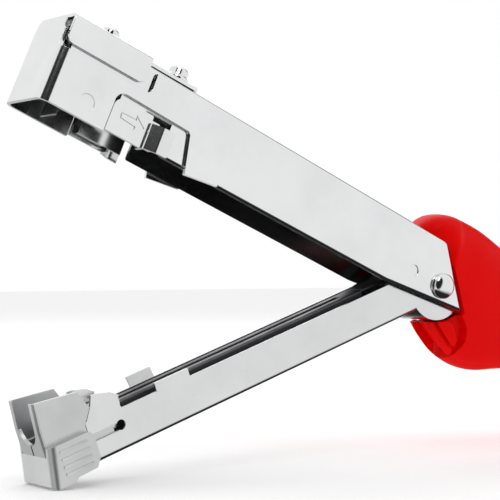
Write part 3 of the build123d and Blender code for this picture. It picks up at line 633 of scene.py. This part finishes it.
class TACKER_OT_grip(bpy.types.Operator):
    """Shapes the moulded grip with its hood, finger guard and fins"""

    bl_idname = "tacker.grip"
    bl_label = "Shape the grip"

    def execute(self, context):
        core = self.shell(POCKET_DEPTH)
        grip = self.shell()
        self.cut_socket(grip)
        self.cut_pocket(grip, core)
        modify(grip, "BEVEL", width=0.5, segments=2, limit_method="ANGLE",
               angle_limit=math.radians(38), use_clamp_overlap=True)
        settle(grip, BODY, "grip_red", "body", "red_plastic", "handle_grip", angle=38.0)
        return {"FINISHED"}

    def shell(self, inset=0.0):
        """Sphere drawn out into the grip's outlines, or a smaller one that lies inside them."""
        grip = add("uv_sphere", "handle_grip_finish", segments=96, ring_count=120, radius=1.0,
                   rotation=(0, math.radians(90), 0))
        bpy.ops.object.transform_apply(location=False, rotation=True, scale=False)
        start, end = GRIP_TOP[0][0] - 0.9 + inset, GRIP_TOP[-1][0] + 0.8 - inset
        for vertex in grip.data.vertices:
            ring = math.acos(max(-1.0, min(1.0, -vertex.co.x))) / math.pi
            x = start + (end - start) * ring
            across = math.hypot(vertex.co.y, vertex.co.z)
            around = math.atan2(vertex.co.z, vertex.co.y)
            blunt = min(1.0, math.sin(math.pi * ring) * 9.0) ** 0.5 if across > 1e-6 else 0.0
            top, low = curve_value(GRIP_TOP, x), curve_value(GRIP_LOW, x)
            half = curve_value(GRIP_HALF, x) - inset
            middle, tall = (top + low) / 2, max((top - low) / 2 - inset, 0.2)
            side, rise = math.cos(around), math.sin(around)
            y = half * blunt * math.copysign(abs(side) ** SQUARENESS, side)
            z = middle + tall * blunt * math.copysign(abs(rise) ** SQUARENESS, rise)
            vertex.co = (x, y, z)
        return grip

    def cutter(self, name, corners, half):
        """Prism across the grip through corners of the body frame's side view."""
        cutter = add("circle", name, vertices=len(corners), radius=1.0, fill_type="NGON",
                     rotation=(math.radians(90), 0, 0))
        bpy.ops.object.transform_apply(location=False, rotation=True, scale=False)
        for vertex, (x, z) in zip(cutter.data.vertices, corners):
            vertex.co = (x, -half, z)
        edit(cutter)
        bpy.ops.mesh.select_all(action="SELECT")
        bpy.ops.mesh.extrude_region_move(TRANSFORM_OT_translate={"value": (0, 2 * half, 0)})
        face_out_and_leave()
        return cutter

    def carve(self, grip, tool):
        """Cuts a tool out of the grip and removes the tool."""
        modify(grip, "BOOLEAN", object=tool, operation="DIFFERENCE", solver="EXACT")
        bpy.data.objects.remove(tool)

    def cut_socket(self, grip):
        """Room for the slanted end of the channel and the magazine's rounded rear."""
        _, channel = cad_span("body_channel", BODY)
        corners = ((-30.0, -9.3), (-30.0, 16.5), (-3.3, 16.1), (channel.x + 0.6, -5.3), (10.6, -9.3))
        self.carve(grip, self.cutter("socket", corners, SOCKET_HALF))
        drum = add("cylinder", "drum", vertices=96, radius=DRUM_RADIUS, depth=2 * DRUM_HALF,
                   rotation=(math.radians(90), 0, 0))
        bpy.ops.object.transform_apply(location=False, rotation=True, scale=False)
        self.carve(grip, drum)

    def cut_pocket(self, grip, core):
        """Pocket under the front of the guard, with upright fins standing in it."""
        pocket = self.cutter("pocket", POCKET_SIDE, SOCKET_HALF)
        self.carve(pocket, core)
        for out in FINS_OUT:
            for y in (-out, out):
                fin = self.cutter("fin", FIN_SIDE, FIN_THICK / 2)
                fin.data.transform(Matrix.Translation((0, y, 0)))
                self.carve(pocket, fin)
        self.carve(grip, pocket)


RIB_REACH = 11.64  # from the mid-plane to the top of the nose cap's ribs, in millimetres


class TACKER_OT_nose_ribs(bpy.types.Operator):
    """Keeps the ribs of the nose cap clear of the head's side plates when the tool is closed"""

    bl_idname = "tacker.nose_ribs"
    bl_label = "Trim the nose ribs"

    def execute(self, context):
        limit = RIB_REACH * MM
        for vertex in bpy.data.objects["nose_cap_finish"].data.vertices:
            vertex.co.y = max(-limit, min(limit, vertex.co.y))
        return {"FINISHED"}


ROOM_PALE = 0.92
ROOM_DARK = 0.02
ROOM_EDGE = (-0.52, -0.30)  # heights between which the room turns from dark to pale
# direction, half angle in degrees, softness of the edge as a cosine
FLAGS = (
    ((-0.44, -0.82, 0.36), 41.0, 0.03),
    ((0.86, 0.30, 0.42), 15.0, 0.02),
    ((-1.0, 0.12, 0.0), 16.0, 0.02),
)
# name, centre in metres, watts, side in metres
LAMPS = (
    ("key", (-0.35, -0.75, 1.0), 3.0, 0.5),
    ("rim", (0.5, 0.9, 0.9), 2.0, 0.6),
)
LAMP_TARGET = Vector((0, 0, 0.07))
CAMERA_FROM_PIVOT = Vector((-393.05, -469.6, 9.2))
CAMERA_FORWARD = Vector((0.5590, 0.8291, 0.0065))
CAMERA_LENS = 118.7
CAMERA_SENSOR = 36.0


class TACKER_OT_stage(bpy.types.Operator):
    """Sets the pale floor, the soft lights and the camera"""

    bl_idname = "tacker.stage"
    bl_label = "Set the stage"

    def execute(self, context):
        self.floor()
        self.world(context)
        self.lights()
        self.camera(context)
        return {"FINISHED"}

    def floor(self):
        """Pale floor that isn't seen in the plated parts."""
        floor = add("plane", "stage_floor", size=6.0, location=(0, 0, -0.0002))
        shader = Shader("stage_pale")
        cloud = shader.noise(shader.place(), 0.004, 2.0)
        shader.set(Base_Color=shader.mix(cloud * 0.1, (0.93, 0.93, 0.93, 1), (0.9, 0.9, 0.9, 1)),
                   Roughness=0.85)
        shader.set(Emission_Color=(1, 1, 1, 1), Emission_Strength=0.2)
        floor.data.materials.append(shader.material)
        floor.visible_glossy = False

    def world(self, context):
        """White to the camera; reflections see a pale room with a dark floor and a few dark flags."""
        shader = Shader("stage_world", "worlds", "Background")
        direction = shader.node("ShaderNodeTexCoord", {}, {}, "Generated")
        height = shader.node("ShaderNodeSeparateXYZ", {}, {0: direction}, "Z")
        light = shader.ramp(height, *ROOM_EDGE, ROOM_DARK, ROOM_PALE)
        for flag, wide, soft in FLAGS:
            toward = shader.node("ShaderNodeVectorMath", {"operation": "DOT_PRODUCT"},
                                 {0: direction, 1: Vector(flag).normalized()}, "Value")
            edge = math.cos(math.radians(wide))
            light = light * shader.ramp(toward, edge - soft, edge + soft, 1.0, ROOM_DARK)
        seen = shader.node("ShaderNodeLightPath", {}, {}, "Is Camera Ray")
        shader.set(Strength=seen + light * (1 - seen))
        shader.set(Color=(1, 1, 1, 1))
        context.scene.world = shader.material
        context.scene.view_settings.view_transform = "Standard"

    def lights(self):
        """Two large soft lamps."""
        for name, centre, power, size in LAMPS:
            lamp = bpy.data.lights.new(name, "AREA")
            lamp.shape = "RECTANGLE"
            lamp.size = lamp.size_y = size
            lamp.energy = power
            obj = bpy.data.objects.new(name, lamp)
            bpy.context.scene.collection.objects.link(obj)
            obj.location = centre
            obj.rotation_euler = (LAMP_TARGET - Vector(centre)).to_track_quat("-Z", "Y").to_euler()

    def camera(self, context):
        """Long lens, level with the pivot, in front of the striking head."""
        data = bpy.data.cameras.new("camera")
        camera = bpy.data.objects.new("camera", data)
        context.scene.collection.objects.link(camera)
        context.scene.camera = camera
        data.lens = CAMERA_LENS
        data.sensor_width = CAMERA_SENSOR
        camera.location = PIVOT + CAMERA_FROM_PIVOT * MM
        camera.rotation_mode = "QUATERNION"
        camera.rotation_quaternion = CAMERA_FORWARD.to_track_quat("-Z", "Y")
        data.clip_start = 0.05
        data.clip_end = 30.0


class TACKER_PT_panel(bpy.types.Panel):
    """Lists the tacker's steps"""

    bl_label = "Tacker"
    bl_idname = "TACKER_PT_panel"
    bl_space_type = "VIEW_3D"
    bl_region_type = "UI"
    bl_category = "Tacker"

    def draw(self, context):
        column = self.layout.column()
        for name in ("edge_round", "wire", "turns"):
            column.prop(context.scene.tacker_sizes, name)
        for name in ("plate", "steel", "spring", "grip"):
            column.prop(context.scene.tacker_colours, name)
        for operator in STEPS:
            column.operator(operator.bl_idname)


STEPS = (
    TACKER_OT_finishes,
    TACKER_OT_sheet_parts,
    TACKER_OT_carried_parts,
    TACKER_OT_rivets,
    TACKER_OT_springs,
    TACKER_OT_grip,
    TACKER_OT_nose_ribs,
    TACKER_OT_stage,
)
CLASSES = (TackerSizes, TackerColours, *STEPS, TACKER_PT_panel)


def register():
    for cls in CLASSES:
        bpy.utils.register_class(cls)
    bpy.types.Scene.tacker_sizes = PointerProperty(type=TackerSizes)
    bpy.types.Scene.tacker_colours = PointerProperty(type=TackerColours)


def unregister():
    del bpy.types.Scene.tacker_colours
    del bpy.types.Scene.tacker_sizes
    for cls in reversed(CLASSES):
        bpy.utils.unregister_class(cls)


def main():
    register()
    for step in STEPS:
        group, name = step.bl_idname.split(".")
        getattr(getattr(bpy.ops, group), name)()


if __name__ == "__main__":
    main()
